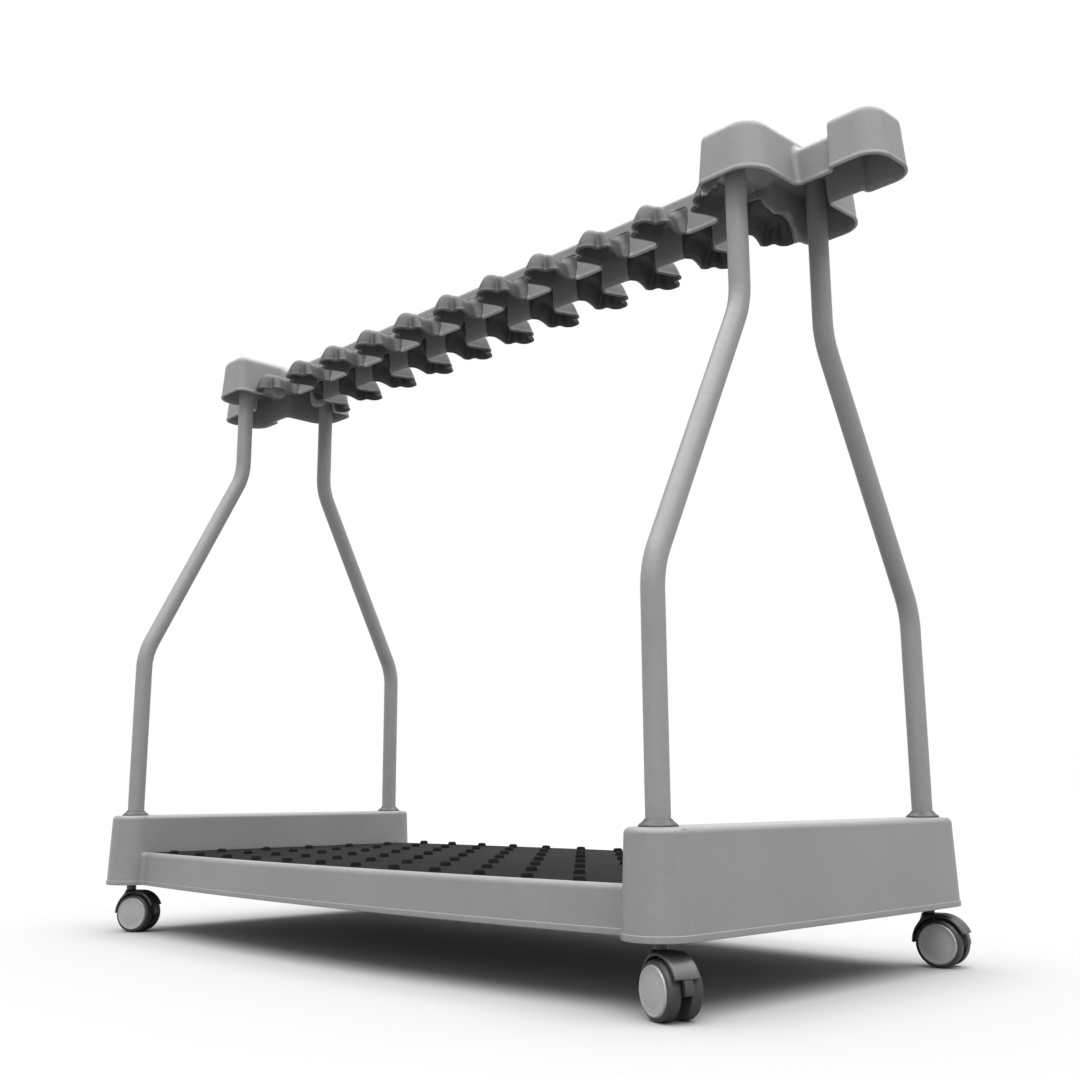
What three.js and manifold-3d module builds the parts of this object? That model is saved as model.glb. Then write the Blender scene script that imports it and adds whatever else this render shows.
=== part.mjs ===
// Freestanding garden tool rack on four twin-wheel casters.
// Millimetres, +Z up, floor at z = 0, origin on the floor under the middle of the rack.
// X runs along the rack, -Y is the front.
import * as THREE from 'three';
import { mergeVertices } from 'three/addons/utils/BufferGeometryUtils.js';
import Module from 'manifold-3d';

const wasm = await Module();
wasm.setup();

// ---------------------------------------------------------------- dimensions
const GAP = 0.3;                  // clearance between neighbouring pieces

const LEG_X = 454;                // legs and casters, measured from the middle
const LEG_Y_LOW = 207.8;
const LEG_Y_HIGH = 70.4;
const LEG_R = 10.5;               // 21 mm steel tube
const LEG_WALL = 1.3;
const LEG_Z0 = 91;
const LEG_Z1 = 806.2;
const BEND_LOW_Z = 360;           // corners of the bent centre line
const BEND_HIGH_Z = 632.5;
const BEND_R = 85;

const TRAY_Z0 = 59.1;
const END_TOP = 146.3;            // end boxes
const END_R_TOP = 28;             // half width of an end box, top and bottom
const END_R_BOTTOM = 31.4;
const END_BOW = 3;                // outer face bulges at mid length
const WALL_TOP = 99.8;            // low front and back walls
const WALL_Y = 228.5;             // half depth at the middle
const WALL_BOW = 21;              // and how much less it is near the end boxes
const SKIN = 3;
const SEAT_R = 17.2;              // shallow seat for each leg collar
const SEAT_DEPTH = 0.5;
const FLOOR_TOP = 97;             // tray floor under the mat
const FLOOR_BOTTOM = 94;

const MAT_TOP = 99.4;
const STUD_TOP = 104;
const STUD_PITCH_X = 65;
const STUD_PITCH_Y = 67;
const STUD_COLS = 12;
const STUD_ROWS = 7;

const HEAD_Z0 = 752.4;            // heads, rail and fingers share this rim
const HEAD_TOP = 809.5;
const NECK_TOP = 795;
const NECK_Y = 27.9;
const RAIL_Y = 22.7;              // the rail is narrower and taller than the necks
const RAIL_TOP = 800;
const FINGER_PITCH = 82.26;
const FINGER_SHIFT = 4;           // the rows of fingers stand a little to the right of the middle
const FINGER_TOP = 780.4;

const WHEEL_R = 23.2;             // casters
const TRAIL = 12.6;
const HOOD_R = 28.3;
const HOOD_RI = 25.6;
const HOOD_W = 12;
const STEM_FLANGE_R = 6;
const SWIVEL = { front_right: -17.2, back_right: 9.5, front_left: 31.3, back_left: -24 };

// ---------------------------------------------------------------- materials
const mat = (color, roughness, metalness) => new THREE.MeshStandardMaterial({ color, roughness, metalness });
const LOOK = {
  shell: () => mat(0x6c6c6c, 0.55, 0.0),
  mat: () => mat(0x151515, 0.8, 0.0),
  tube: () => mat(0x707070, 0.4, 0.0),
  collar: () => mat(0x2a2a2a, 0.6, 0.0),
  finger: () => mat(0x3f3f3f, 0.65, 0.0),
  hood: () => mat(0x141414, 0.5, 0.0),
  steel: () => mat(0x9a9a9a, 0.3, 0.9),
  wheel: () => mat(0x1a1a1a, 0.6, 0.0),
};

// ---------------------------------------------------------------- helpers
const rad = THREE.MathUtils.degToRad;

// closed three.js geometry -> solid for joining and cutting
function solid(geometry, matrix) {
  let g = geometry.clone();
  if (matrix) g.applyMatrix4(matrix);
  g.deleteAttribute('normal');
  g.deleteAttribute('uv');
  g = mergeVertices(g, 1e-3);
  const index = [];
  const src = g.index.array;
  for (let i = 0; i < src.length; i += 3) {
    const [a, b, c] = [src[i], src[i + 1], src[i + 2]];
    if (a !== b && b !== c && a !== c) index.push(a, b, c);
  }
  return new wasm.Manifold(new wasm.Mesh({
    numProp: 3,
    vertProperties: new Float32Array(g.attributes.position.array),
    triVerts: new Uint32Array(index),
  }));
}

function geometryOf(manifold) {
  const m = manifold.getMesh();
  const pos = new Float32Array(m.numVert * 3);
  for (let i = 0; i < m.numVert; i++) {
    for (let k = 0; k < 3; k++) pos[3 * i + k] = m.vertProperties[m.numProp * i + k];
  }
  const g = new THREE.BufferGeometry();
  g.setAttribute('position', new THREE.BufferAttribute(pos, 3));
  g.setIndex(Array.from(m.triVerts));
  g.computeVertexNormals();
  return g;
}

// body whose outline changes with height: rings = [{z, pts}], the same count of points each
function loft(rings) {
  const key = (x, y) => `${(Math.fround(x) + 0).toFixed(3)},${(Math.fround(y) + 0).toFixed(3)}`;
  const base = rings[0].pts;
  const at = new Map(base.map((p, i) => [key(p.x, p.y), i]));
  const n = rings.length - 1;
  const g = new THREE.ExtrudeGeometry(new THREE.Shape(base), { steps: n, depth: n, bevelEnabled: false, curveSegments: 1 });
  const pos = g.attributes.position;
  for (let i = 0; i < pos.count; i++) {
    const ring = rings[Math.round(pos.getZ(i))];
    const p = ring.pts[at.get(key(pos.getX(i), pos.getY(i)))];
    pos.setXYZ(i, p.x, p.y, ring.z);
  }
  g.computeVertexNormals();
  return g;
}

const V = (x, y) => new THREE.Vector2(x, y);

// rounded rectangle, one radius for each corner: [x1y0, x1y1, x0y1, x0y0]
function roundedRect(x0, x1, y0, y1, radii, n) {
  const pts = [];
  const corners = [[x1, y0, -90, -1, 1], [x1, y1, 0, -1, -1], [x0, y1, 90, 1, -1], [x0, y0, 180, 1, 1]];
  corners.forEach(([cx, cy, a0, sx, sy], i) => {
    const r = radii[i];
    for (let k = 0; k <= n; k++) {
      const a = rad(a0 + (90 * k) / n);
      pts.push(V(cx + sx * r + r * Math.cos(a), cy + sy * r + r * Math.sin(a)));
    }
  });
  return pts;
}

const box = (x0, x1, y0, y1, z0, z1) => {
  const g = new THREE.BoxGeometry(x1 - x0, y1 - y0, z1 - z0);
  g.translate((x0 + x1) / 2, (y0 + y1) / 2, (z0 + z1) / 2);
  return g;
};
// upright round bar
const bar = (x, y, r, z0, z1, n = 16) => {
  const g = new THREE.CylinderGeometry(r, r, z1 - z0, n);
  g.rotateX(Math.PI / 2);
  g.translate(x, y, (z0 + z1) / 2);
  return g;
};

const rack = new THREE.Group();
function add(name, geometry, look, parent = rack) {
  const m = new THREE.Mesh(geometry, LOOK[look]());
  m.name = name;
  parent.add(m);
  return m;
}

// ---------------------------------------------------------------- tray
const endR = (z) => END_R_BOTTOM + ((END_R_TOP - END_R_BOTTOM) * (z - TRAY_Z0)) / (END_TOP - TRAY_Z0);

// outline of the right end box: full-round ends, outer face slightly bowed
function endOutline(r, bow) {
  const pts = [];
  const n = 10;
  for (let k = 0; k <= n; k++) {
    const a = rad(180 + (180 * k) / n);
    pts.push(V(LEG_X + r * Math.cos(a), -LEG_Y_LOW + r * Math.sin(a)));
  }
  for (const y of [-140, -70, 0, 70, 140]) pts.push(V(LEG_X + r + bow * (1 - (y / LEG_Y_LOW) ** 2), y));
  for (let k = 0; k <= n; k++) {
    const a = rad((180 * k) / n);
    pts.push(V(LEG_X + r * Math.cos(a), LEG_Y_LOW + r * Math.sin(a)));
  }
  return pts;
}
const endRing = (z, inset) => ({ z, pts: endOutline(endR(z) - inset, END_BOW) });

// outline of the middle of the tray: bowed front and back
const WALL_XS = [-436, -424, -414, -370, -310, -230, -120, 0, 120, 230, 310, 370, 414, 424, 436];
const wallY = (x) => {
  const near = Math.abs(x);
  if (near > 418) return WALL_Y - WALL_BOW + 6;       // small fillet into the corner lobe
  return WALL_Y - WALL_BOW * (near / 420) ** 2;
};
function middleOutline(offset) {
  return [
    ...WALL_XS.map((x) => V(x, -(wallY(x) + offset))),
    ...WALL_XS.slice().reverse().map((x) => V(x, wallY(x) + offset)),
  ];
}
// the same outline pulled in and stopped at the end boxes
function innerOutline(inset, halfLength) {
  const xs = WALL_XS.filter((x) => Math.abs(x) < 415);
  const all = [-halfLength, ...xs, halfLength];
  const y = (x) => Math.min(WALL_Y - WALL_BOW * (Math.abs(x) / 420) ** 2, WALL_Y) - inset;
  return [...all.map((x) => V(x, -y(x))), ...all.slice().reverse().map((x) => V(x, y(x)))];
}

const endBody = solid(loft([
  endRing(TRAY_Z0, -0.8), endRing(64.3, -0.8), endRing(64.8, 0), endRing(143.8, 0.1), endRing(END_TOP, 2.4),
]));
const endHollow = solid(loft([endRing(TRAY_Z0 - 1, SKIN), endRing(END_TOP - SKIN, SKIN)]));
const flip = (m) => m.mirror([1, 0, 0]);

const middle = solid(loft([
  { z: TRAY_Z0, pts: middleOutline(2.4) },
  { z: 64.3, pts: middleOutline(2.2) },
  { z: 64.8, pts: middleOutline(1.4) },
  { z: 94.2, pts: middleOutline(0.2) },
  { z: 98.6, pts: middleOutline(-0.4) },
  { z: WALL_TOP, pts: middleOutline(-1.8) },
]));
const middleHollow = solid(loft([
  { z: TRAY_Z0 - 1, pts: innerOutline(SKIN - 1.4, 438) },
  { z: FLOOR_BOTTOM, pts: innerOutline(SKIN, 438) },
]));
const END_FACE = LEG_X - endR(98);                     // inner face of the right end box at deck height
const matRecess = solid(loft([
  { z: FLOOR_TOP, pts: innerOutline(6, END_FACE + 0.2) },
  { z: WALL_TOP + 2, pts: innerOutline(6, END_FACE + 0.2) },
]));

let tray = endBody.add(flip(endBody)).add(middle)
  .subtract(endHollow).subtract(flip(endHollow)).subtract(middleHollow).subtract(matRecess);
// two stiffening ribs under the floor
for (const y of [-105, 105]) tray = tray.add(solid(box(-424, 424, y - 1.25, y + 1.25, 72, FLOOR_BOTTOM + 1)));
// a socket under each corner: leg from above, caster stem from below
for (const sx of [-1, 1]) {
  for (const sy of [-1, 1]) {
    const x = sx * LEG_X;
    const y = sy * LEG_Y_LOW;
    tray = tray
      .add(solid(bar(x, y, 14, 60.2, END_TOP - 1)))
      .add(solid(box(x - 27, x + 27, y - 1.5, y + 1.5, 70, END_TOP - 1)))
      .subtract(solid(bar(x, y, LEG_R + GAP, LEG_Z0 - GAP, END_TOP + 2)))
      .subtract(solid(bar(x, y, SEAT_R, END_TOP - SEAT_DEPTH, END_TOP + 2, 24)))
      .subtract(solid(bar(x, y, 5.3, 58, 85.3, 12)));
  }
}
add('tray', geometryOf(tray), 'shell');

// ---------------------------------------------------------------- studded mat
let studMat = solid(loft([
  { z: FLOOR_TOP + GAP, pts: innerOutline(6.5, END_FACE - 0.5) },
  { z: MAT_TOP, pts: innerOutline(6.5, END_FACE - 0.5) },
]));
const studs = [];
for (let i = 0; i < STUD_COLS; i++) {
  for (let j = 0; j < STUD_ROWS; j++) {
    const g = new THREE.CylinderGeometry(4.8, 6, STUD_TOP - MAT_TOP + 1, 6);
    g.rotateX(Math.PI / 2);
    g.translate((i - (STUD_COLS - 1) / 2) * STUD_PITCH_X, (j - (STUD_ROWS - 1) / 2) * STUD_PITCH_Y, (STUD_TOP + MAT_TOP - 1) / 2);
    studs.push(solid(g));
  }
}
studMat = wasm.Manifold.union([studMat, ...studs]);
add('studded_mat', geometryOf(studMat), 'mat');

// ---------------------------------------------------------------- legs
// centre line with rounded corners, stored as a list of points; each point is one ring of the tube
class LegPath extends THREE.Curve {
  constructor(points) { super(); this.list = points; }
  getPoint(t, target = new THREE.Vector3()) {
    const f = THREE.MathUtils.clamp(t, 0, 1) * (this.list.length - 1);
    const i = Math.min(Math.floor(f), this.list.length - 2);
    return target.copy(this.list[i]).lerp(this.list[i + 1], f - i);
  }
  getPointAt(u, target) { return this.getPoint(u, target); }
  getTangentAt(u, target = new THREE.Vector3()) {
    const n = this.list.length - 1;
    const i = Math.round(u * n);
    const a = this.list[Math.max(i - 1, 0)];
    const b = this.list[Math.min(i + 1, n)];
    const before = this.list[i].clone().sub(a).normalize();
    const after = b.clone().sub(this.list[i]).normalize();
    return target.copy(before).add(after).normalize();
  }
}
function legPoints(side) {
  const run = LEG_Y_LOW - LEG_Y_HIGH;
  const rise = BEND_HIGH_Z - BEND_LOW_Z;
  const lean = Math.atan2(run, rise);
  const t = BEND_R * Math.tan(lean / 2);
  const pts = [[LEG_Y_LOW, LEG_Z0]];
  const steps = 3;
  for (let k = 0; k <= steps; k++) {                   // lower bend, centre on the inner side
    const a = (lean * k) / steps;
    pts.push([LEG_Y_LOW - BEND_R * (1 - Math.cos(a)), BEND_LOW_Z - t + BEND_R * Math.sin(a)]);
  }
  for (let k = steps; k >= 0; k--) {                   // upper bend, back to vertical
    const a = (lean * k) / steps;
    pts.push([LEG_Y_HIGH + BEND_R * (1 - Math.cos(a)), BEND_HIGH_Z + t - BEND_R * Math.sin(a)]);
  }
  pts.push([LEG_Y_HIGH, LEG_Z1]);
  return pts.map(([y, z]) => new THREE.Vector3(0, side * y, z));
}
function legGeometry(side) {
  const n = 14;
  const ring = (r) => Array.from({ length: n }, (_, i) => V(r * Math.cos((2 * Math.PI * i) / n), r * Math.sin((2 * Math.PI * i) / n)));
  const section = new THREE.Shape(ring(LEG_R));
  section.holes.push(new THREE.Path(ring(LEG_R - LEG_WALL)));
  const path = new LegPath(legPoints(side));
  return new THREE.ExtrudeGeometry(section, { steps: path.list.length - 1, extrudePath: path, bevelEnabled: false, curveSegments: 1 });
}
const CORNERS = { front_right: [1, -1], back_right: [1, 1], front_left: [-1, -1], back_left: [-1, 1] };
for (const [corner, [sx, sy]] of Object.entries(CORNERS)) {
  const leg = add(`leg_${corner}`, legGeometry(sy), 'tube');
  leg.position.x = sx * LEG_X;

  // tapered ring that sits in the seat on top of the end box
  const z = END_TOP - SEAT_DEPTH + GAP;
  const ro = LEG_R + 6;
  const ri = LEG_R + GAP;
  const profile = [V(ri, 0), V(ro, 0), V(ro, 2.9), V(ri + 1.1, 6.6), V(ri, 6.6), V(ri, 0)];
  const g = new THREE.LatheGeometry(profile, 16);
  g.rotateX(Math.PI / 2);
  const collar = add(`leg_collar_${corner}`, g, 'collar');
  collar.position.set(sx * LEG_X, sy * LEG_Y_LOW, z);
}

// ---------------------------------------------------------------- outline of the holder fingers
const fingerX = [-5, -4, -3, -2, -1, 0, 1, 2, 3, 4, 5].map((k) => k * FINGER_PITCH + FINGER_SHIFT);
// half plan from the root to the nose: [distance from the finger's centre, distance from the plane y = NECK_Y]
const FINGER_HALF = [[25, -7], [19.8, -3.2], [17.4, 0], [16.5, 4], [19.7, 15], [25.2, 28.3], [24.4, 33.8], [15.8, 37.9], [12.2, 44.2], [5.2, 52]];
const FINGER_INNER = [[14.4, -9], [13.7, 3.6], [16.7, 15.6], [21.7, 27.4], [21.2, 32], [13, 35], [9.3, 43], [4.2, 48.8]];
const plan = (half, su, sv) => [
  ...half.map(([u, v]) => V(u * su, -NECK_Y - Math.max(v, 0) * sv + Math.max(-v, 0))),
  ...half.slice().reverse().map(([u, v]) => V(-u * su, -NECK_Y - Math.max(v, 0) * sv + Math.max(-v, 0))),
].reverse();
const fingerHollow = solid(loft([
  { z: HEAD_Z0 - 1, pts: plan(FINGER_INNER, 1, 1) },
  { z: 769, pts: plan(FINGER_INNER, 0.62, 0.9) },
]));

// ---------------------------------------------------------------- heads
// crossbar over two legs, neck, and hand grip lobe; all shells open below
const HEAD_PLAN = [424.7, 496.6, 100.6];
const GRIP_PLAN = [535, 590, 36.3];
const crossbarRing = (z, d) => ({
  z,
  pts: roundedRect(HEAD_PLAN[0] + d, HEAD_PLAN[1] - d, -HEAD_PLAN[2] + d, HEAD_PLAN[2] - d,
    [Math.max(30 - d, 1), Math.max(30 - d, 1), Math.max(12 - d, 1), Math.max(12 - d, 1)], 4),
});
// the grip's inner face stands upright, the others lean in with the height
const gripRing = (z, d, inner) => ({
  z,
  pts: roundedRect(GRIP_PLAN[0] + inner, GRIP_PLAN[1] - d, -GRIP_PLAN[2] + d, GRIP_PLAN[2] - d,
    [Math.max(25 - d, 1), Math.max(25 - d, 1), Math.max(4 - d, 0.8), Math.max(4 - d, 0.8)], 4),
});
// height, inset, and inset of the grip's inner face
const CROWN = [[HEAD_Z0, 0, 0], [796.5, 3.5, 0.2], [804.1, 5.8, 2.3], [HEAD_TOP, 12.5, 9]];
const HOLLOW = [[HEAD_Z0 - 1, 3, 3], [796.5, 6.7, 3.4], [HEAD_TOP - SKIN, 12.6, 9.2]];

// channel section shared by the rail and the necks: half outline from the rim to the crown
const channel = (x0, x1, outline) => {
  const half = outline.map(([y, z]) => V(y, z));
  const shape = new THREE.Shape([...half, ...half.slice().reverse().map((p) => V(-p.x, p.y))]);
  const g = new THREE.ExtrudeGeometry(shape, { steps: 1, depth: x1 - x0, bevelEnabled: false, curveSegments: 1 });
  // section (y, z) drawn in the XY plane, then stood up with its length along X
  g.applyMatrix4(new THREE.Matrix4().set(0, 0, 1, x0, 1, 0, 0, 0, 0, 1, 0, 0, 0, 0, 0, 1));
  return solid(g);
};
const NECK_OUT = [[NECK_Y, HEAD_Z0], [27.2, 783.5], [25.9, 788.4], [23, 792.4], [18.5, 794.5], [12, NECK_TOP]];
const NECK_IN = [[24.9, HEAD_Z0 - 1], [24.2, 783], [21.5, 788.8], [15.5, 791.6], [10, NECK_TOP - SKIN]];
const RAIL_OUT = [[RAIL_Y, HEAD_Z0], [21.8, 793.5], [20, 798.2], [15.7, RAIL_TOP]];
const RAIL_IN = [[19.7, HEAD_Z0 - 1], [18.8, 792.4], [17.5, 795.7], [14.5, RAIL_TOP - SKIN]];

const headOuter = solid(loft(CROWN.map(([z, d]) => crossbarRing(z, d))))
  .add(solid(loft(CROWN.map(([z, d, inner]) => gripRing(z, d, inner)))))
  .add(channel(480, 545, NECK_OUT));
const headInner = solid(loft(HOLLOW.map(([z, d]) => crossbarRing(z, d))))
  .add(solid(loft(HOLLOW.map(([z, d, inner]) => gripRing(z, d, inner)))))
  .add(channel(420, 450, RAIL_IN))
  .add(channel(450, 560, NECK_IN));
let head = headOuter.subtract(headInner);
for (const sy of [-1, 1]) {
  // spigot that goes down inside the leg tube
  head = head.add(solid(bar(LEG_X, sy * LEG_Y_HIGH, 8.7, 774, HEAD_TOP - 1.5)));
}
// the hollows of the last fingers open into the heads
const openAt = (body, x) => [0, 180].reduce((b, turn) => b.subtract(fingerHollow.rotate([0, 0, turn]).translate([x, 0, 0])), body);
add('head_right', geometryOf(openAt(head, fingerX[10])), 'shell');
add('head_left', geometryOf(openAt(flip(head), fingerX[0])), 'shell');

// keeps the rail and the last fingers clear of the heads
const headKeepOut = solid(loft(CROWN.map(([z, d]) => crossbarRing(z === HEAD_Z0 ? z - 2 : z === HEAD_TOP ? z + 2 : z, d - 0.4))));

// ---------------------------------------------------------------- rail
let rail = channel(-440, 440, RAIL_OUT).subtract(channel(-450, 450, RAIL_IN))
  .subtract(headKeepOut).subtract(flip(headKeepOut));
// a notch behind each finger joins its hollow to the rail's
const notchRing = (z, x, w) => ({ z, pts: [V(x - w, -40), V(x + w, -40), V(x + w, 40), V(x - w, 40)] });
for (const x of fingerX) rail = rail.subtract(solid(loft([notchRing(740, x, 12.5), notchRing(769, x, 5.6)])));
add('rail', geometryOf(rail), 'shell');

// ---------------------------------------------------------------- holder fingers
const fingerOuter = solid(loft([
  { z: HEAD_Z0, pts: plan(FINGER_HALF, 1, 1) },
  { z: 763.5, pts: plan(FINGER_HALF, 0.85, 0.955) },
  { z: 773, pts: plan(FINGER_HALF, 0.63, 0.875) },
  { z: 778, pts: plan(FINGER_HALF, 0.4, 0.78) },
  { z: FINGER_TOP, pts: plan(FINGER_HALF, 0.18, 0.66) },
]));
// the root follows the rail's side
const railKeepOut = channel(-60, 60, [[RAIL_Y + GAP, HEAD_Z0 - 0.01], [RAIL_Y - 0.9 + GAP, 793.5]]);
const finger = fingerOuter.subtract(fingerHollow).subtract(railKeepOut);
fingerX.forEach((x, i) => {
  for (const [row, turn] of [['front', 0], ['back', 180]]) {
    let f = finger.rotate([0, 0, turn]).translate([x, 0, 0]);
    if (i === 0) f = f.subtract(flip(headKeepOut));
    if (i === fingerX.length - 1) f = f.subtract(headKeepOut);
    add(`finger_${row}_${String(i + 1).padStart(2, '0')}`, geometryOf(f), 'finger');
  }
});

// ---------------------------------------------------------------- casters
const SEG = 20;
// disc sector in the XZ plane, thickness along Y
function sector(points, y0, y1) {
  const g = new THREE.ExtrudeGeometry(new THREE.Shape(points), { steps: 1, depth: y1 - y0, bevelEnabled: false, curveSegments: 1 });
  g.applyMatrix4(new THREE.Matrix4().set(1, 0, 0, 0, 0, 0, -1, y1, 0, 1, 0, 0, 0, 0, 0, 1));
  return solid(g);
}
const arc = (cx, cy, r, a0, a1, n) => Array.from({ length: n + 1 }, (_, k) => {
  const a = rad(a0 + ((a1 - a0) * k) / n);
  return V(cx + r * Math.cos(a), cy + r * Math.sin(a));
});
// caster frame: stem axis on local x = 0, axle on local x = TRAIL
const wheelSpace = solid((() => {
  const g = new THREE.CylinderGeometry(HOOD_RI, HOOD_RI, 2 * HOOD_W + 20, 24);
  g.translate(TRAIL, 0, WHEEL_R);
  return g;
})());
const hoodShell = sector([...arc(TRAIL, WHEEL_R, HOOD_R, 22, 180, 12), ...arc(TRAIL, WHEEL_R, HOOD_RI - 2, 180, 22, 12)], -HOOD_W, HOOD_W);
const boss = solid(bar(0, 0, 7.6, 40, 51.4, 12));
const web = sector([...arc(TRAIL, WHEEL_R, HOOD_R - 0.8, 14, 190, 12), V(TRAIL - 8, WHEEL_R - 7), ...arc(TRAIL, WHEEL_R, 8, 230, 330, 4)], -4, 4);
const hood = hoodShell.add(boss).subtract(wheelSpace).add(web)
  .subtract(solid(bar(0, 0, 3.3, 35.5, 60, 12)))
  .subtract(solid((() => { const g = new THREE.CylinderGeometry(3.3, 3.3, 30, 12); g.translate(TRAIL, 0, WHEEL_R); return g; })()));
const hoodGeometry = geometryOf(hood);

const flatR = (r) => r / Math.cos(Math.PI / SEG);      // tread polygon that stands on a flat
const wheelProfile = [
  V(0, 13.5), V(3.3, 13.5), V(3.3, 4.6), V(22.4, 4.6), V(flatR(WHEEL_R), 6), V(flatR(WHEEL_R), 14), V(19.3, 17.3), V(0, 18.6),
];
const wheelGeometry = new THREE.LatheGeometry(wheelProfile, SEG);
const stemProfile = [V(0, 36.2), V(3, 36.2), V(3, 51.8), V(STEM_FLANGE_R, 51.8), V(STEM_FLANGE_R, 59.8), V(5, 59.8), V(5, 83.5), V(3.8, 84.9), V(0, 84.9)];

for (const [corner, [sx, sy]] of Object.entries(CORNERS)) {
  const caster = new THREE.Group();
  caster.position.set(sx * LEG_X, sy * LEG_Y_LOW, 0);
  caster.rotation.z = rad(SWIVEL[corner]);
  rack.add(caster);

  const stem = new THREE.LatheGeometry(stemProfile, 12);
  stem.rotateX(Math.PI / 2);
  add(`caster_stem_${corner}`, stem, 'hood', caster);
  add(`caster_hood_${corner}`, hoodGeometry.clone(), 'hood', caster);

  const axle = add(`caster_axle_${corner}`, new THREE.CylinderGeometry(3, 3, 26.4, 12), 'steel', caster);
  axle.position.set(TRAIL, 0, WHEEL_R);

  for (const [side, turn] of [['a', Math.PI], ['b', 0]]) {
    const wheel = add(`caster_wheel_${corner}_${side}`, wheelGeometry.clone(), 'wheel', caster);
    wheel.position.set(TRAIL, 0, WHEEL_R);
    wheel.rotation.set(0, Math.PI / SEG, 0);
    if (turn) wheel.rotation.set(Math.PI, Math.PI / SEG, 0);
  }
}

export default rack;
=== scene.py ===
"""Looks for the free-standing garden tool rack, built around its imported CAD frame.
Shapes are worked out in millimetres in the row frame and stored in metres."""
import math

import bmesh
import bpy
import numpy as np
from mathutils import Matrix, Vector


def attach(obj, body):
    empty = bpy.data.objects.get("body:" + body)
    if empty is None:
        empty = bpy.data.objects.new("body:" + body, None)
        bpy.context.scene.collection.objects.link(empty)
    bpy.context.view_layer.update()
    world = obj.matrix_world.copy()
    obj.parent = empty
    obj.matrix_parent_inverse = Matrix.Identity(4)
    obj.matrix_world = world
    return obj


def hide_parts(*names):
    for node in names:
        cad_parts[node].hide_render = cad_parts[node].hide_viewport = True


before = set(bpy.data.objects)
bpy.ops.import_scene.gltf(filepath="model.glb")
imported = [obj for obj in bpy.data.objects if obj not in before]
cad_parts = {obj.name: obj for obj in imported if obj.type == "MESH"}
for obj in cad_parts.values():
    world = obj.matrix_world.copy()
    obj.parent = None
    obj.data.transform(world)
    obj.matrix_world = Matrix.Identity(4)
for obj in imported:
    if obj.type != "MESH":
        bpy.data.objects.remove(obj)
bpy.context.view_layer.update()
MM = 0.001

# ------------------------------------------------------------------ dimensions, as in the CAD
LEG_X, LEG_Y_LOW, LEG_Y_HIGH, LEG_R = 454.0, 207.8, 70.4, 10.5
LEG_Z0, LEG_Z1 = 91.0, 806.2
BEND_LOW_Z, BEND_HIGH_Z, BEND_R = 360.0, 632.5, 85.0
TRAY_Z0, END_TOP = 59.1, 146.3
END_R_TOP, END_R_BOTTOM, END_BOW = 28.0, 31.4, 3.0
WALL_TOP, WALL_Y, WALL_BOW = 99.8, 228.5, 21.0
FLOOR_TOP, FLOOR_BOTTOM = 97.0, 94.0
MAT_TOP, STUD_TOP = 99.4, 104.0
SEAT_R, SEAT_DEPTH = 16.9, 0.5
HEAD_Z0, HEAD_TOP, NECK_TOP, NECK_Y = 752.4, 809.5, 795.0, 27.9
RAIL_TOP, RAIL_Y = 800.0, 22.7
FINGER_PITCH, FINGER_SHIFT, FINGER_TOP = 82.26, 4.0, 780.4
WHEEL_R, TRAIL, HOOD_R, HOOD_RI, HOOD_W = 23.2, 12.6, 28.3, 25.6, 12.0
SWIVEL = {"front_right": -17.2, "back_right": 9.5, "front_left": 31.3, "back_left": -24.0}
CORNERS = {"front_right": (1, -1), "back_right": (1, 1), "front_left": (-1, -1), "back_left": (-1, 1)}


# ------------------------------------------------------------------ camera, lights, floor
def make_camera():
    yaw, pitch, roll = math.radians(46.084), math.radians(11.426), math.radians(-0.311)
    fwd = Vector((-math.sin(yaw) * math.cos(pitch), math.cos(yaw) * math.cos(pitch), math.sin(pitch)))
    right = Vector((math.cos(yaw), math.sin(yaw), 0))
    up = right.cross(fwd)
    c, s = math.cos(roll), math.sin(roll)
    r2, u2 = right * c + up * s, up * c - right * s
    data = bpy.data.cameras.new("camera")
    data.sensor_fit, data.sensor_width = "HORIZONTAL", 36
    data.lens = 36 * 1243.671 / 1080
    data.clip_start, data.clip_end = 0.02, 60
    cam = bpy.data.objects.new("camera", data)
    bpy.context.scene.collection.objects.link(cam)
    m = Matrix.Identity(4)
    for i in range(3):
        m[i][0], m[i][1], m[i][2] = r2[i], u2[i], -fwd[i]
    m[0][3], m[1][3], m[2][3] = 1.128721, -0.987901, 0.174609
    cam.matrix_world = m
    bpy.context.scene.camera = cam


def sun(name, azimuth, elevation, strength, angle):
    """A lamp that shines from that azimuth (0 is the front, 90 the right) and height."""
    data = bpy.data.lights.new(name, "SUN")
    data.energy, data.angle = strength, math.radians(angle)
    lamp = bpy.data.objects.new(name, data)
    bpy.context.scene.collection.objects.link(lamp)
    a, e = math.radians(azimuth), math.radians(elevation)
    back = Vector((math.sin(a) * math.cos(e), -math.cos(a) * math.cos(e), math.sin(e)))
    lamp.rotation_mode = "QUATERNION"
    lamp.rotation_quaternion = back.to_track_quat("Z", "Y")


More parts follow.
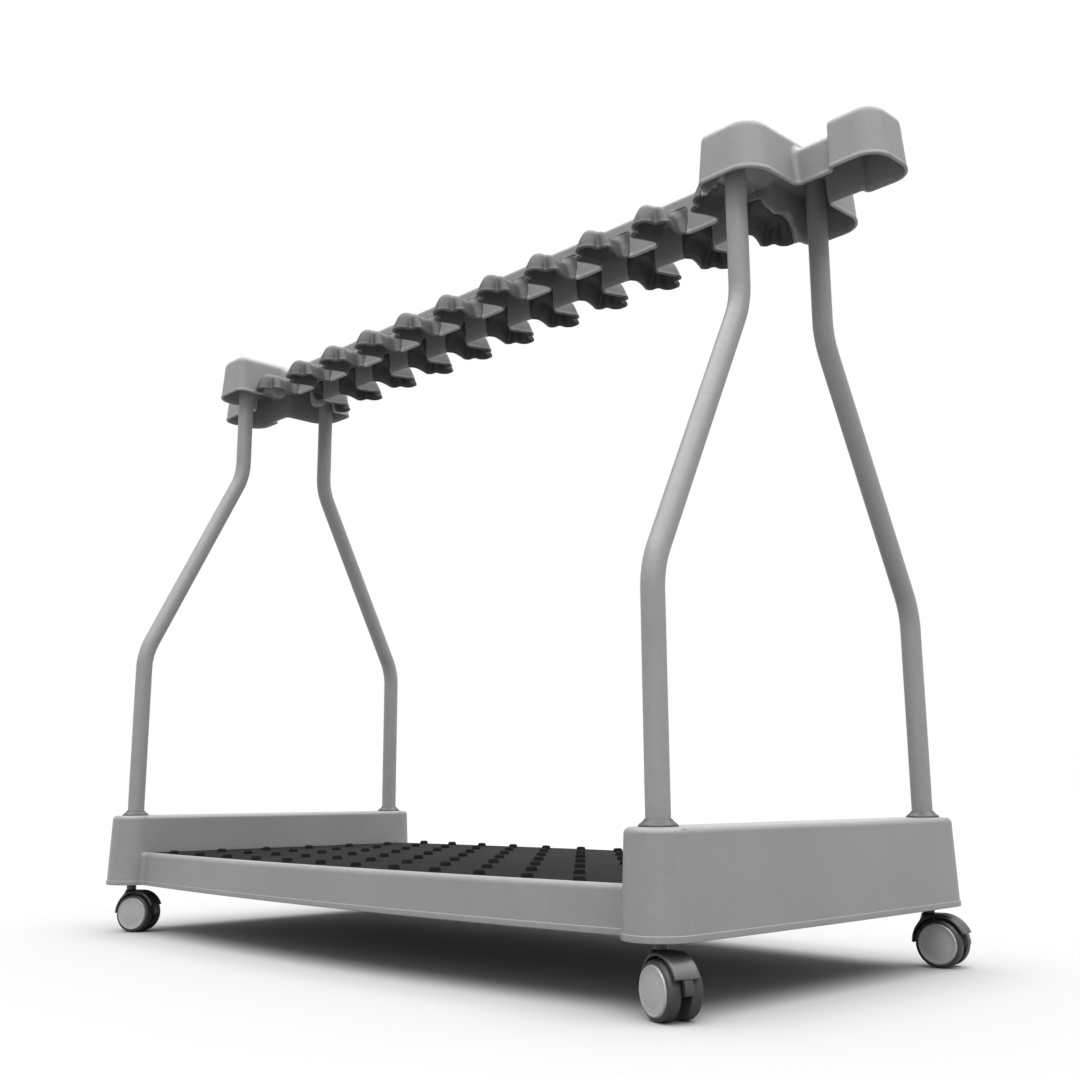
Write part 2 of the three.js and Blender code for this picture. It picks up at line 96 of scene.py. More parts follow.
def make_stage():
    world = bpy.data.worlds.new("studio")
    world.use_nodes = True
    bg = world.node_tree.nodes["Background"]
    bg.inputs["Color"].default_value = (1, 1, 1, 1)
    bg.inputs["Strength"].default_value = 1.0
    bpy.context.scene.world = world
    bpy.context.scene.view_settings.view_transform = "Standard"
    bpy.context.scene.view_settings.look = "None"
    sun("overhead", 60, 84, 8.9, 92)
    sun("key", 40, 26, 0.35, 30)
    sun("rim", 215, 30, 0.15, 30)
    me = bpy.data.meshes.new("floor")
    s = 30
    me.from_pydata([(-s, -s, 0), (s, -s, 0), (s, s, 0), (-s, s, 0)], [], [(0, 1, 2, 3)])
    floor = bpy.data.objects.new("floor", me)
    bpy.context.scene.collection.objects.link(floor)
    mat = bpy.data.materials.new("floor_pale")
    mat.use_nodes = True
    b = mat.node_tree.nodes["Principled BSDF"]
    b.inputs["Base Color"].default_value = (0.264, 0.264, 0.264, 1)
    b.inputs["Roughness"].default_value = 0.95
    b.inputs["Specular IOR Level"].default_value = 0.1
    me.materials.append(mat)


make_camera()
make_stage()


# ------------------------------------------------------------------ materials
def material(name, dark, light, rough, grain, bump, broad=9.0, spec=0.5, metallic=0.0, stretch=None, dust=None):
    """Procedural finish. dark and light bound the slow colour drift, rough is (low, high),
    grain is the size in mm of the fine surface texture and bump its depth in mm."""
    m = bpy.data.materials.new(name)
    m.use_nodes = True
    nt = m.node_tree
    b = nt.nodes["Principled BSDF"]
    new = nt.nodes.new
    link = nt.links.new
    coord = new("ShaderNodeTexCoord")
    mapping = new("ShaderNodeMapping")
    mapping.inputs["Scale"].default_value = stretch or (1, 1, 1)
    link(coord.outputs["Object"], mapping.inputs["Vector"])

    def noise(scale, detail, rough_=0.55, source=mapping):
        n = new("ShaderNodeTexNoise")
        n.inputs["Scale"].default_value = scale
        n.inputs["Detail"].default_value = detail
        n.inputs["Roughness"].default_value = rough_
        link(source.outputs["Vector"], n.inputs["Vector"])
        return n.outputs["Fac"]

    def ramp(fac, a, b_, low=0.35, high=0.65):
        r = new("ShaderNodeValToRGB")
        r.color_ramp.elements[0].position, r.color_ramp.elements[1].position = low, high
        r.color_ramp.elements[0].color = (*a, 1)
        r.color_ramp.elements[1].color = (*b_, 1)
        link(fac, r.inputs["Fac"])
        return r.outputs["Color"]

    tone = ramp(noise(broad, 5), (dark,) * 3, (light,) * 3)
    speck = ramp(noise(1000 / (grain * 3.2), 3, 0.7), (0.965,) * 3, (1.03,) * 3, 0.38, 0.62)
    mix = new("ShaderNodeMix")
    mix.data_type, mix.blend_type = "RGBA", "MULTIPLY"
    mix.inputs["Factor"].default_value = 1.0
    link(tone, mix.inputs["A"])
    link(speck, mix.inputs["B"])
    colour = mix.outputs["Result"]
    if dust:                                         # fine pale scuffs and soil, strongest in patches
        patches = new("ShaderNodeMapRange")
        patches.inputs["From Min"].default_value, patches.inputs["From Max"].default_value = 0.52, 0.74
        link(noise(26, 7, 0.68), patches.inputs["Value"])
        strength = new("ShaderNodeMath")
        strength.operation = "MULTIPLY"
        strength.inputs[1].default_value = dust[0]
        link(patches.outputs["Result"], strength.inputs[0])
        over = new("ShaderNodeMix")
        over.data_type = "RGBA"
        over.inputs["B"].default_value = (dust[1],) * 3 + (1,)
        link(strength.outputs["Value"], over.inputs["Factor"])
        link(colour, over.inputs["A"])
        colour = over.outputs["Result"]
    link(colour, b.inputs["Base Color"])
    rr = new("ShaderNodeMapRange")
    rr.inputs["From Min"].default_value, rr.inputs["From Max"].default_value = 0.3, 0.7
    rr.inputs["To Min"].default_value, rr.inputs["To Max"].default_value = rough
    link(noise(broad * 4, 6, 0.6), rr.inputs["Value"])
    link(rr.outputs["Result"], b.inputs["Roughness"])
    bm = new("ShaderNodeBump")
    bm.inputs["Strength"].default_value = 1.0
    bm.inputs["Distance"].default_value = bump * MM
    link(noise(1000 / grain, 2, 0.5), bm.inputs["Height"])
    link(bm.outputs["Normal"], b.inputs["Normal"])
    b.inputs["Metallic"].default_value = metallic
    b.inputs["Specular IOR Level"].default_value = spec
    return m


SHELL = material("shell_plastic", 0.134, 0.146, (0.40, 0.50), 1.1, 0.016, spec=0.32, dust=(0.07, 0.21))
INSERT = material("mat_rubber", 0.005, 0.007, (0.88, 0.97), 1.6, 0.10, spec=0.06, dust=(0.08, 0.03))
TUBE = material("tube_powder_coat", 0.148, 0.162, (0.40, 0.48), 1.7, 0.018, spec=0.32, metallic=0.0, dust=(0.05, 0.23))
COLLAR = material("collar_plastic", 0.026, 0.036, (0.42, 0.55), 1.0, 0.04, spec=0.45)
FINGER = material("finger_rubber", 0.024, 0.030, (0.52, 0.64), 1.3, 0.05, spec=0.34, dust=(0.10, 0.08))
STEM = material("stem_black", 0.018, 0.026, (0.3, 0.42), 1.4, 0.02, spec=0.5)
HOOD = material("hood_plastic", 0.016, 0.024, (0.34, 0.46), 1.0, 0.04, spec=0.5, dust=(0.10, 0.10))
STEEL = material("axle_steel", 0.50, 0.60, (0.26, 0.38), 0.5, 0.01, metallic=1.0, stretch=(1, 1, 6))
TYRE = material("tyre_black", 0.016, 0.024, (0.48, 0.62), 0.9, 0.05, spec=0.4, dust=(0.22, 0.11))
CAP = material("hub_cap_grey", 0.19, 0.23, (0.34, 0.46), 0.9, 0.03, spec=0.5, dust=(0.10, 0.30))


# ------------------------------------------------------------------ mesh helpers
def make_object(name, verts, faces, mats, body, nodes, index=None, angle=32.0, weighted=False):
    """A new piece from points in mm, which rides on a CAD body and stands for the CAD nodes."""
    me = bpy.data.meshes.new(name)
    me.from_pydata((np.asarray(verts, float) * MM).tolist(), [], [tuple(int(i) for i in f) for f in faces])
    me.validate(verbose=False)
    for m in (mats if isinstance(mats, (list, tuple)) else [mats]):
        me.materials.append(m)
    if index is not None:
        me.polygons.foreach_set("material_index", np.asarray(index, np.int32))
    obj = bpy.data.objects.new(name, me)
    bpy.context.scene.collection.objects.link(obj)
    finish_object(obj, body, nodes, angle, weighted)
    return obj


def finish_object(obj, body, nodes, angle=32.0, weighted=False):
    me = obj.data
    me.shade_smooth()
    bm = bmesh.new()
    bm.from_mesh(me)
    for e in bm.edges:
        if len(e.link_faces) == 2 and e.calc_face_angle(0.0) > math.radians(angle):
            e.smooth = False
    bm.to_mesh(me)
    bm.free()
    if weighted:
        w = obj.modifiers.new("even_shading", "WEIGHTED_NORMAL")
        w.keep_sharp = True
    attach(obj, body)
    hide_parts(*nodes)


def rmax(a, b, r):
    """Both, with a rounded edge of radius r."""
    return np.minimum(np.maximum(a, b), -r) + np.hypot(np.maximum(a + r, 0), np.maximum(b + r, 0))


def rmin(a, b, r):
    """Either, with a fillet of radius r between them."""
    return -rmax(-a, -b, r)


def rect(x, y, x0, x1, y0, y1, r):
    """Distance to a rounded rectangle, negative inside."""
    dx = np.abs(x - (x0 + x1) / 2) - (x1 - x0) / 2 + r
    dy = np.abs(y - (y0 + y1) / 2) - (y1 - y0) / 2 + r
    return np.minimum(np.maximum(dx, dy), 0) + np.hypot(np.maximum(dx, 0), np.maximum(dy, 0)) - r


def net(f, lo, hi, step):
    """Quads over the surface where f(x, y, z) is 0, inside the box lo..hi (mm)."""
    steps = np.array([step] * 3 if np.isscalar(step) else step, float)
    lo, hi = np.array(lo, float) - 1.37 * steps, np.array(hi, float) + 1.37 * steps
    counts = np.ceil((hi - lo) / steps).astype(int) + 1
    axes = [lo[i] + steps[i] * np.arange(counts[i]) for i in range(3)]
    F = f(*np.meshgrid(*axes, indexing="ij"))
    F = np.where(np.abs(F) < 1e-7, 1e-7, F)
    inside = F < 0
    c = np.array(F.shape) - 1
    total = np.zeros((*c, 3))
    count = np.zeros(tuple(c))
    corners = [(i, j, k) for i in (0, 1) for j in (0, 1) for k in (0, 1)]

    def part(A, o):
        return A[o[0]:o[0] + c[0], o[1]:o[1] + c[1], o[2]:o[2] + c[2]]

    for a in corners:
        for axis in range(3):
            if a[axis]:
                continue
            b = tuple(1 if i == axis else a[i] for i in range(3))
            cross = part(inside, a) != part(inside, b)
            fa, fb = part(F, a), part(F, b)
            t = np.where(cross, fa / np.where(cross, fa - fb, 1), 0)
            for i in range(3):
                total[..., i] += np.where(cross, a[i] + (t if i == axis else 0), 0)
            count += cross
    used = count > 0
    ids = -np.ones(used.shape, int)
    ids[used] = np.arange(used.sum())
    verts = (np.argwhere(used) + total[used] / count[used][:, None]) * steps + lo
    faces = []
    for axis in range(3):
        u, v = (axis + 1) % 3, (axis + 2) % 3
        sl_a = [slice(None)] * 3
        sl_b = [slice(None)] * 3
        sl_a[axis], sl_b[axis] = slice(0, -1), slice(1, None)
        ia, ib = inside[tuple(sl_a)], inside[tuple(sl_b)]
        at = np.argwhere(ia != ib)
        ok = (at[:, u] > 0) & (at[:, v] > 0) & (at[:, u] < c[u]) & (at[:, v] < c[v])
        at = at[ok]
        if not len(at):
            continue
        sign = ia[tuple(at.T)]
        eu, ev = np.zeros(3, int), np.zeros(3, int)
        eu[u], ev[v] = 1, 1
        q = np.stack([ids[tuple((at - eu - ev).T)], ids[tuple((at - ev).T)], ids[tuple(at.T)], ids[tuple((at - eu).T)]], 1)
        q[~sign] = q[~sign][:, ::-1]
        faces.append(q)
    faces = np.concatenate(faces)
    for _ in range(3):                               # settle the points on the surface itself
        h = 0.04
        x, y, z = verts.T
        value = f(x, y, z)
        g = np.stack([f(x + h, y, z) - f(x - h, y, z), f(x, y + h, z) - f(x, y - h, z), f(x, y, z + h) - f(x, y, z - h)], 1) / (2 * h)
        length2 = np.maximum((g ** 2).sum(1), 0.05)
        move = -value[:, None] * g / length2[:, None]
        far = np.linalg.norm(move, axis=1)
        limit = 0.45 * steps.min()
        move *= np.minimum(1, limit / np.maximum(far, 1e-9))[:, None]
        verts = verts + move
    return verts, faces


def mirror_x(verts, faces):
    v = np.array(verts, float)
    v[:, 0] *= -1
    return v, [tuple(reversed(f)) for f in faces]


def turned(verts, degrees, move=(0, 0, 0)):
    a = math.radians(degrees)
    v = np.array(verts, float)
    out = v.copy()
    out[:, 0] = v[:, 0] * math.cos(a) - v[:, 1] * math.sin(a)
    out[:, 1] = v[:, 0] * math.sin(a) + v[:, 1] * math.cos(a)
    return out + np.array(move, float)


def lathe(profile, segments):
    """Closed solid turned about Z from (r, z) points; r 0 at an end makes a pole."""
    verts, rings = [], []
    for r, z in profile:
        if r < 1e-6:
            rings.append([len(verts)])
            verts.append((0, 0, z))
        else:
            rings.append(list(range(len(verts), len(verts) + segments)))
            verts += [(r * math.cos(2 * math.pi * k / segments), r * math.sin(2 * math.pi * k / segments), z) for k in range(segments)]
    faces, rows = [], []
    pairs = list(zip(range(len(rings) - 1), range(1, len(rings))))
    if len(rings[0]) > 1 and len(rings[-1]) > 1:
        pairs.append((len(rings) - 1, 0))
    for a, b in pairs:
        A, B = rings[a], rings[b]
        for k in range(segments):
            n = (k + 1) % segments
            if len(A) == 1 and len(B) == 1:
                continue
            if len(A) == 1:
                faces.append((A[0], B[n], B[k]))
            elif len(B) == 1:
                faces.append((A[k], A[n], B[0]))
            else:
                faces.append((A[k], A[n], B[n], B[k]))
            rows.append(a)
    return np.array(verts, float), faces, rows


def loft_mesh(rings):
    """Closed solid through rings [(z, points)] that share a point count; points run anticlockwise."""
    n = len(rings[0][1])
    verts = [(x, y, z) for z, pts in rings for x, y in pts]
    faces = [tuple(reversed(range(n)))]
    for i in range(len(rings) - 1):
        a, b = i * n, (i + 1) * n
        faces += [(a + k, a + (k + 1) % n, b + (k + 1) % n, b + k) for k in range(n)]
    faces.append(tuple(range((len(rings) - 1) * n, len(rings) * n)))
    return verts, faces


def scratch_object(verts, faces):
    me = bpy.data.meshes.new("tool")
    me.from_pydata([tuple(v) for v in np.asarray(verts, float)], [], faces)
    bm = bmesh.new()
    bm.from_mesh(me)
    bmesh.ops.recalc_face_normals(bm, faces=bm.faces)
    bm.to_mesh(me)
    bm.free()
    o = bpy.data.objects.new("tool", me)
    bpy.context.scene.collection.objects.link(o)
    return o


def combine(base, steps):
    """Boolean chain in mm: steps are (operation, verts, faces). Returns verts, faces."""
    obj = scratch_object(*base)
    tools = []
    for op, v, f in steps:
        t = scratch_object(v, f)
        t.hide_render = True
        tools.append(t)
        m = obj.modifiers.new(op, "BOOLEAN")
        m.operation, m.object, m.solver = op, t, "MANIFOLD"
    dg = bpy.context.evaluated_depsgraph_get()
    me = bpy.data.meshes.new_from_object(obj.evaluated_get(dg))
    verts = np.zeros(len(me.vertices) * 3)
    me.vertices.foreach_get("co", verts)
    faces = [tuple(p.vertices) for p in me.polygons]
    for o in [obj, *tools]:
        data = o.data
        bpy.data.objects.remove(o)
        bpy.data.meshes.remove(data)
    bpy.data.meshes.remove(me)
    return verts.reshape(-1, 3), faces


def block(x0, x1, y0, y1, z0, z1):
    return loft_mesh([(z, [(x0, y0), (x1, y0), (x1, y1), (x0, y1)]) for z in (z0, z1)])


def pin(x, y, r, z0, z1, n=48):
    pts = [(x + r * math.cos(2 * math.pi * k / n), y + r * math.sin(2 * math.pi * k / n)) for k in range(n)]
    return loft_mesh([(z0, pts), (z1, pts)])


# ------------------------------------------------------------------ tray
def end_r(z):
    return END_R_BOTTOM + (END_R_TOP - END_R_BOTTOM) * (z - TRAY_Z0) / (END_TOP - TRAY_Z0)


def end_outline(r, sx=1):
    pts, n = [], 28
    for k in range(n + 1):
        a = math.radians(180 + 180 * k / n)
        pts.append((LEG_X + r * math.cos(a), -LEG_Y_LOW + r * math.sin(a)))
    for y in np.linspace(-190, 190, 21):
        pts.append((LEG_X + r + END_BOW * (1 - (y / LEG_Y_LOW) ** 2), y))
    for k in range(n + 1):
        a = math.radians(180 * k / n)
        pts.append((LEG_X + r * math.cos(a), LEG_Y_LOW + r * math.sin(a)))
    if sx < 0:
        pts = [(-x, y) for x, y in reversed(pts)]
    return pts


def end_ring(z, inset, sx=1):
    return z, end_outline(end_r(z) - inset, sx)


ROUND = [(0.0, 0.0), (0.3, 0.02), (0.55, 0.165), (0.75, 0.34), (0.9, 0.56), (0.98, 0.8), (1.0, 1.0)]   # quarter round: height, inset


def end_body(sx):
    rings = [(59.1, 0.2), (59.3, -0.45), (59.8, -0.8), (63.9, -0.8), (64.3, -0.7), (64.7, -0.1), (65.0, 0), (80, 0), (110, 0)]
    rings += [(141.1 + 5.2 * h, 5.2 * i) for h, i in ROUND]
    return loft_mesh([end_ring(z, i, sx) for z, i in rings])


def wall_xs():
    near = list(np.linspace(0, 412, 34)) + [414, 416, 417.6]
    fillet = [417.6 + 6.4 * t for t in (0.3, 0.55, 0.75, 0.9, 1.0)]
    right = near + fillet + [440]
    return [-x for x in reversed(right[1:])] + right


def wall_y(x):
    near = abs(x)
    y = WALL_Y - WALL_BOW * (near / 420) ** 2
    if near > 417.6:
        t = min((near - 417.6) / 6.4, 1.0)
        y = WALL_Y - WALL_BOW * (417.6 / 420) ** 2 + 6.4 * (1 - math.sqrt(max(1 - t * t, 0)))
    return y


def middle_ring(z, offset):
    xs = wall_xs()
    return z, [(x, -(wall_y(x) + offset)) for x in xs] + [(x, wall_y(x) + offset) for x in reversed(xs)]


def inner_ring(z, inset, half):
    xs = [x for x in wall_xs() if abs(x) < 415]
    xs = [-half] + xs + [half]

    def y(x):
        return WALL_Y - WALL_BOW * (abs(x) / 420) ** 2 - inset

    return z, [(x, -y(x)) for x in xs] + [(x, y(x)) for x in reversed(xs)]


def make_tray():
    face = LEG_X - end_r(98)
    middle = [(59.1, 1.4), (59.3, 2.05), (59.8, 2.4), (63.9, 2.25), (64.3, 2.1), (64.7, 1.55), (65.0, 1.4), (80, 0.8), (94.0, 0.2)]
    middle += [(94.0 + 5.8 * h, 0.2 - 5.0 * i) for h, i in ROUND[1:]]
    steps = [("UNION", *end_body(-1)), ("UNION", *loft_mesh([middle_ring(z, o) for z, o in middle]))]
    for sx in (1, -1):
        steps.append(("DIFFERENCE", *loft_mesh([end_ring(TRAY_Z0 - 1, 3, sx), end_ring(138, 3, sx), end_ring(142, 4.5, sx), end_ring(143.3, 7, sx)])))
    steps.append(("DIFFERENCE", *loft_mesh([inner_ring(TRAY_Z0 - 1, 1.6, 438), inner_ring(FLOOR_BOTTOM, 3, 438)])))
    steps.append(("DIFFERENCE", *loft_mesh([inner_ring(FLOOR_TOP, 6.2, face + 0.2), inner_ring(WALL_TOP + 2, 6.2, face + 0.2)])))
    for y in (-105, 105):
        steps.append(("UNION", *block(-424, 424, y - 1.2, y + 1.2, 72.1, FLOOR_BOTTOM + 1.1)))
    for sx in (-1, 1):
        for sy in (-1, 1):
            x, y = sx * LEG_X, sy * LEG_Y_LOW
            steps += [
                ("UNION", *pin(x, y, 14, 60.2, END_TOP - 1)),
                ("UNION", *block(x - 27, x + 27, y - 1.5, y + 1.5, 70, END_TOP - 1.2)),
                ("DIFFERENCE", *pin(x, y, LEG_R + 0.2, LEG_Z0 - 0.3, END_TOP + 2)),
                ("DIFFERENCE", *pin(x, y, SEAT_R, END_TOP - SEAT_DEPTH, END_TOP + 2.2, 64)),
                ("DIFFERENCE", *pin(x, y, 5.3, 58, 85.3, 24)),
            ]
    verts, faces = combine(end_body(1), steps)
    make_object("tray_moulding", verts, faces, SHELL, "frame", ["tray"], angle=38, weighted=True)


def make_mat():
    face = LEG_X - end_r(98)
    half = face - 0.6
    base = loft_mesh([inner_ring(FLOOR_TOP + 0.2, 6.8, half), inner_ring(98.7, 6.8, half), inner_ring(99.2, 7.0, half - 0.3), inner_ring(MAT_TOP, 7.6, half - 0.9)])
    verts, faces = [tuple(v) for v in base[0]], [tuple(f) for f in base[1]]
    # round studs, each a little dome on a flared foot
    profile = [(6.2, MAT_TOP - 0.6), (6.15, MAT_TOP + 0.1), (5.85, MAT_TOP + 0.7), (5.6, MAT_TOP + 2.0), (5.3, MAT_TOP + 3.2),
               (4.8, MAT_TOP + 4.0), (4.0, MAT_TOP + 4.4), (2.6, STUD_TOP - 0.06), (0, STUD_TOP)]
    sv, sf, _ = lathe([(0, MAT_TOP - 0.6)] + profile, 24)
    for i in range(12):
        for j in range(7):
            move = np.array([(i - 5.5) * 65, (j - 3) * 67, 0])
            n = len(verts)
            verts += [tuple(v) for v in sv + move]
            faces += [tuple(n + k for k in f) for f in sf]
    make_object("studded_mat_rubber", verts, faces, INSERT, "frame", ["studded_mat"], angle=40)


make_tray()
make_mat()


# ------------------------------------------------------------------ legs and their collars
def leg_line(side):
    lean = math.atan2(LEG_Y_LOW - LEG_Y_HIGH, BEND_HIGH_Z - BEND_LOW_Z)
    t = BEND_R * math.tan(lean / 2)
    pts = [(LEG_Y_LOW, LEG_Z0), (LEG_Y_LOW, 146.0), (LEG_Y_LOW, 240.0)]
    n = 14
    for k in range(n + 1):
        a = lean * k / n
        pts.append((LEG_Y_LOW - BEND_R * (1 - math.cos(a)), BEND_LOW_Z - t + BEND_R * math.sin(a)))
    pts.append((LEG_Y_LOW + (LEG_Y_HIGH - LEG_Y_LOW) / 2, (BEND_LOW_Z + BEND_HIGH_Z) / 2))
    for k in range(n, -1, -1):
        a = lean * k / n
        pts.append((LEG_Y_HIGH + BEND_R * (1 - math.cos(a)), BEND_HIGH_Z + t - BEND_R * math.sin(a)))
    pts += [(LEG_Y_HIGH, 750.0), (LEG_Y_HIGH, LEG_Z1)]
    return [(side * y, z) for y, z in pts]


def tube(x, line, r, wall, n=32):
    """Hollow tube along points in the plane of that x, closed by flat rims at both ends."""
    ys, zs = np.array(line).T
    dy, dz = np.gradient(ys), np.gradient(zs)
    tangents = []
    for i in range(len(line)):
        a, b = line[max(i - 1, 0)], line[min(i + 1, len(line) - 1)]
        before = np.array(line[i]) - np.array(a)
        after = np.array(b) - np.array(line[i])
        t = sum((v / max(np.linalg.norm(v), 1e-9) for v in (before, after)), np.zeros(2))
        tangents.append(t / np.linalg.norm(t))
    verts, rings = [], []

    def ring(i, rr, shift=0.0):
        c = np.array(line[i]) + tangents[i] * shift
        normal = np.array([tangents[i][1], -tangents[i][0]])
        rings.append(len(verts))
        for k in range(n):
            a = 2 * math.pi * k / n
            d = normal * rr * math.cos(a)
            verts.append((x + rr * math.sin(a), c[0] + d[0], c[1] + d[1]))

    last = len(line) - 1
    for i in range(len(line)):
        ring(i, r)
    ring(last, r - wall)
    for i in range(last - 1, -1, -1):
        ring(i, r - wall)
    faces = []
    for a, b in zip(rings, rings[1:] + rings[:1]):
        faces += [(a + k, a + (k + 1) % n, b + (k + 1) % n, b + k) for k in range(n)]
    return verts, faces


for corner, (sx, sy) in CORNERS.items():
    v, f = tube(sx * LEG_X, leg_line(sy), LEG_R, 1.3)
    v, f = np.array(v), f
    bm = bmesh.new()
    vs = [bm.verts.new(p) for p in v]
    for face in f:
        bm.faces.new([vs[i] for i in face])
    bmesh.ops.recalc_face_normals(bm, faces=bm.faces)
    bm.verts.index_update()
    f = [tuple(vert.index for vert in face.verts) for face in bm.faces]
    bm.free()
    make_object(f"leg_tube_{corner}", v, f, TUBE, "frame", [f"leg_{corner}"], angle=50)

    z0 = END_TOP - SEAT_DEPTH + 0.02
    profile = [(LEG_R + 0.1, z0), (16.2, z0), (16.5, z0 + 0.4), (16.5, z0 + 1.2), (16.2, z0 + 2.0), (15.3, z0 + 2.9),
               (13.6, z0 + 4.1), (12.4, z0 + 5.2), (11.7, z0 + 6.2), (11.3, z0 + 6.75), (10.9, z0 + 6.85), (LEG_R + 0.1, z0 + 6.7)]
    v, f, _ = lathe(profile, 48)
    f = [tuple(reversed(q)) for q in f]
    v = v + np.array([sx * LEG_X, sy * LEG_Y_LOW, 0])
    make_object(f"collar_ring_{corner}", v, f, COLLAR, "frame", [f"leg_collar_{corner}"], angle=55)


# ------------------------------------------------------------------ heads, rail and fingers
def rim(z):
    return HEAD_Z0 - z


def lip(z):
    """The band along the open edge stands a little proud."""
    return 0.5 * np.clip((756.2 - z) / 0.9, 0, 1)


def crossbar(x, y, z):
    r = np.where(x > 460, 30.0, 14.0)
    side = rect(x, y, 424.7, 496.6, -100.6, 100.6, r) + 0.086 * (z - HEAD_Z0) - lip(z)
    return rmax(side, z - HEAD_TOP, 11.0)


def grip(x, y, z):
    h = z - HEAD_Z0
    r = np.where(x > 562, 25.0, 5.0)
    side = rect(x, y, 535.0 - 0.08 * np.maximum(h, 0), 589.5, -36.1, 36.1, r) + 0.086 * h - lip(z)
    return rmax(side, z - HEAD_TOP, 11.0)


def rail_section(x, y, z):
    return rmax(np.abs(y) - (RAIL_Y - 0.022 * (z - HEAD_Z0)) - lip(z), z - RAIL_TOP, 6.0)


def neck_section(x, y, z):
    return rmax(np.abs(y) - (NECK_Y - 0.022 * (z - HEAD_Z0)) - lip(z), z - NECK_TOP, 9.0)


WALL = 2.9


def finger_solid(u, v, z):
    """One finger at u = 0; v is the distance out from the middle of the rail."""
    w = v - 27.9
    h = z - HEAD_Z0
    a = np.abs(u)
    hp = np.maximum(h, 0)
    nose = rmax(a - 12.4 + 0.10 * hp + 0.004 * hp ** 2, w - 52.3 + 0.16 * hp + 0.008 * hp ** 2, 10.5)
    nose = rmax(nose, h - 28.0, 9.0)
    nose = np.maximum(nose, -w - 20)
    lean = 16.5 + 9.2 * np.clip(w / 29, 0, 1) ** 1.5
    side = (a - lean + 0.30 * hp + 0.006 * hp ** 2) * 0.92
    lobe = rmax(side, w - 36.6 + 0.10 * hp, 6.0)
    lobe = np.maximum(lobe, -w - 20)
    lobe = rmax(lobe, h - 25.0, 8.0)
    return rmin(lobe, nose, 3.2) - lip(z)


def rail_and_fingers(x, y, z, centre):
    """Rail and the pair of fingers at that place as one body, with wide fillets."""
    rail = np.maximum(rail_section(x, y, z), np.abs(x) - 470)
    return rail, rmin(rail, finger_solid(x - centre, np.abs(y), z), 10.0)


def row_end(x, y, z, centre):
    """The same, flowing into the crossbars of the heads."""
    rail, both = rail_and_fingers(x, y, z, centre)
    bar = crossbar(np.abs(x), y, z)
    return np.minimum(rmin(both, bar, 6.0), rmin(rail, bar, 9.0))


def skin(outer, z):
    return rmax(rmax(outer, -(outer + WALL), 0.6), rim(z), 0.7)


def share(x, y, z, centre, grow):
    """Negative in the stretch of the rail's sides that is moulded with the fingers."""
    widen = 2 * np.clip(np.abs(y) - 25.0, 0, 4)
    block = rmax(np.abs(x - centre) - 20.5 - widen, z - 784.5 - widen, 5.0)
    block = np.maximum(block, 18.2 - np.abs(y)) - grow
    beyond = np.abs(x) - 418.3 - grow
    return np.maximum(block, beyond)


HEAD_FROM = 415.5                                        # the heads start at the foot of the fillet


def head_shape(centre):
    """Right head; centre is the place of the last pair of fingers."""
    def f(x, y, z):
        neck = np.maximum(neck_section(x, y, z), np.maximum(x - 548, 470 - x))
        outer = rmin(rmin(row_end(x, y, z, centre), neck, 6.0), grip(x, y, z), 1.5)
        shell = rmax(outer, -(outer + WALL), 0.6)
        for sy in (-1, 1):
            # spigot that goes down inside the leg tube
            spigot = rmax(np.hypot(x - LEG_X, y - sy * LEG_Y_HIGH) - 8.7, 774 - z, 1.0)
            shell = np.minimum(shell, np.maximum(spigot, outer + 2.4))
        shell = rmax(shell, rim(z), 0.7)
        shell = np.maximum(shell, -share(x, y, z, centre, 0.03))
        return np.maximum(shell, HEAD_FROM + 0.03 - x)
    return f


def finger_shape(centre):
    """Front finger at that place along the rail."""
    def f(x, y, z):
        outer = row_end(x, y, z, centre) if centre > 300 else rail_and_fingers(x, y, z, centre)[1]
        s = np.maximum(skin(outer, z), share(x, y, z, centre, -0.03))
        return np.maximum(s, y)
    return f


RAIL_X = [k * FINGER_PITCH + FINGER_SHIFT for k in range(-5, 6)]


def rail_shape(x, y, z):
    centre = np.clip(np.round((x - FINGER_SHIFT) / FINGER_PITCH), -5, 5) * FINGER_PITCH + FINGER_SHIFT
    s = np.maximum(skin(row_end(x, y, z, centre), z), -share(x, y, z, centre, 0.03))
    return np.maximum(s, np.abs(x) - HEAD_FROM + 0.03)


def mirror_y(verts, faces):
    v = np.array(verts, float)
    v[:, 1] *= -1
    return v, [tuple(reversed(f)) for f in faces]


def make_top():
    lo, hi = (415, -101.2, 752), (590.2, 101.2, 810)
    v, f = net(head_shape(RAIL_X[10]), lo, hi, 1.5)
    make_object("head_moulding_right", v, f, SHELL, "frame", ["head_right"], angle=70)
    v, f = mirror_x(*net(head_shape(-RAIL_X[0]), lo, hi, 1.5))
    make_object("head_moulding_left", v, f, SHELL, "frame", ["head_left"], angle=70)

    v, f = net(rail_shape, (-416.5, -23.6, 752), (416.5, 23.6, 800.6), (1.6, 1.5, 1.5))
    make_object("rail_channel", v, f, SHELL, "frame", ["rail"], angle=70)

    def pad(centre):
        high = min(centre + 29, 429)
        return net(finger_shape(centre), (centre - 29, -81.5, 752), (high, -17.5, 791), 1.3)

    middle = pad(0.0)
    ends = {10: pad(RAIL_X[10]), 0: mirror_x(*pad(-RAIL_X[0]))}
    for i, x in enumerate(RAIL_X):
        if i in ends:
            front = ends[i]
        else:
            front = (middle[0] + np.array([x, 0, 0]), middle[1])
        for row, (v, f) in (("front", front), ("back", mirror_y(*front))):
            name = f"{row}_{i + 1:02d}"
            make_object(f"finger_pad_{name}", v, f, FINGER, "frame", [f"finger_{name}"], angle=70)


make_top()


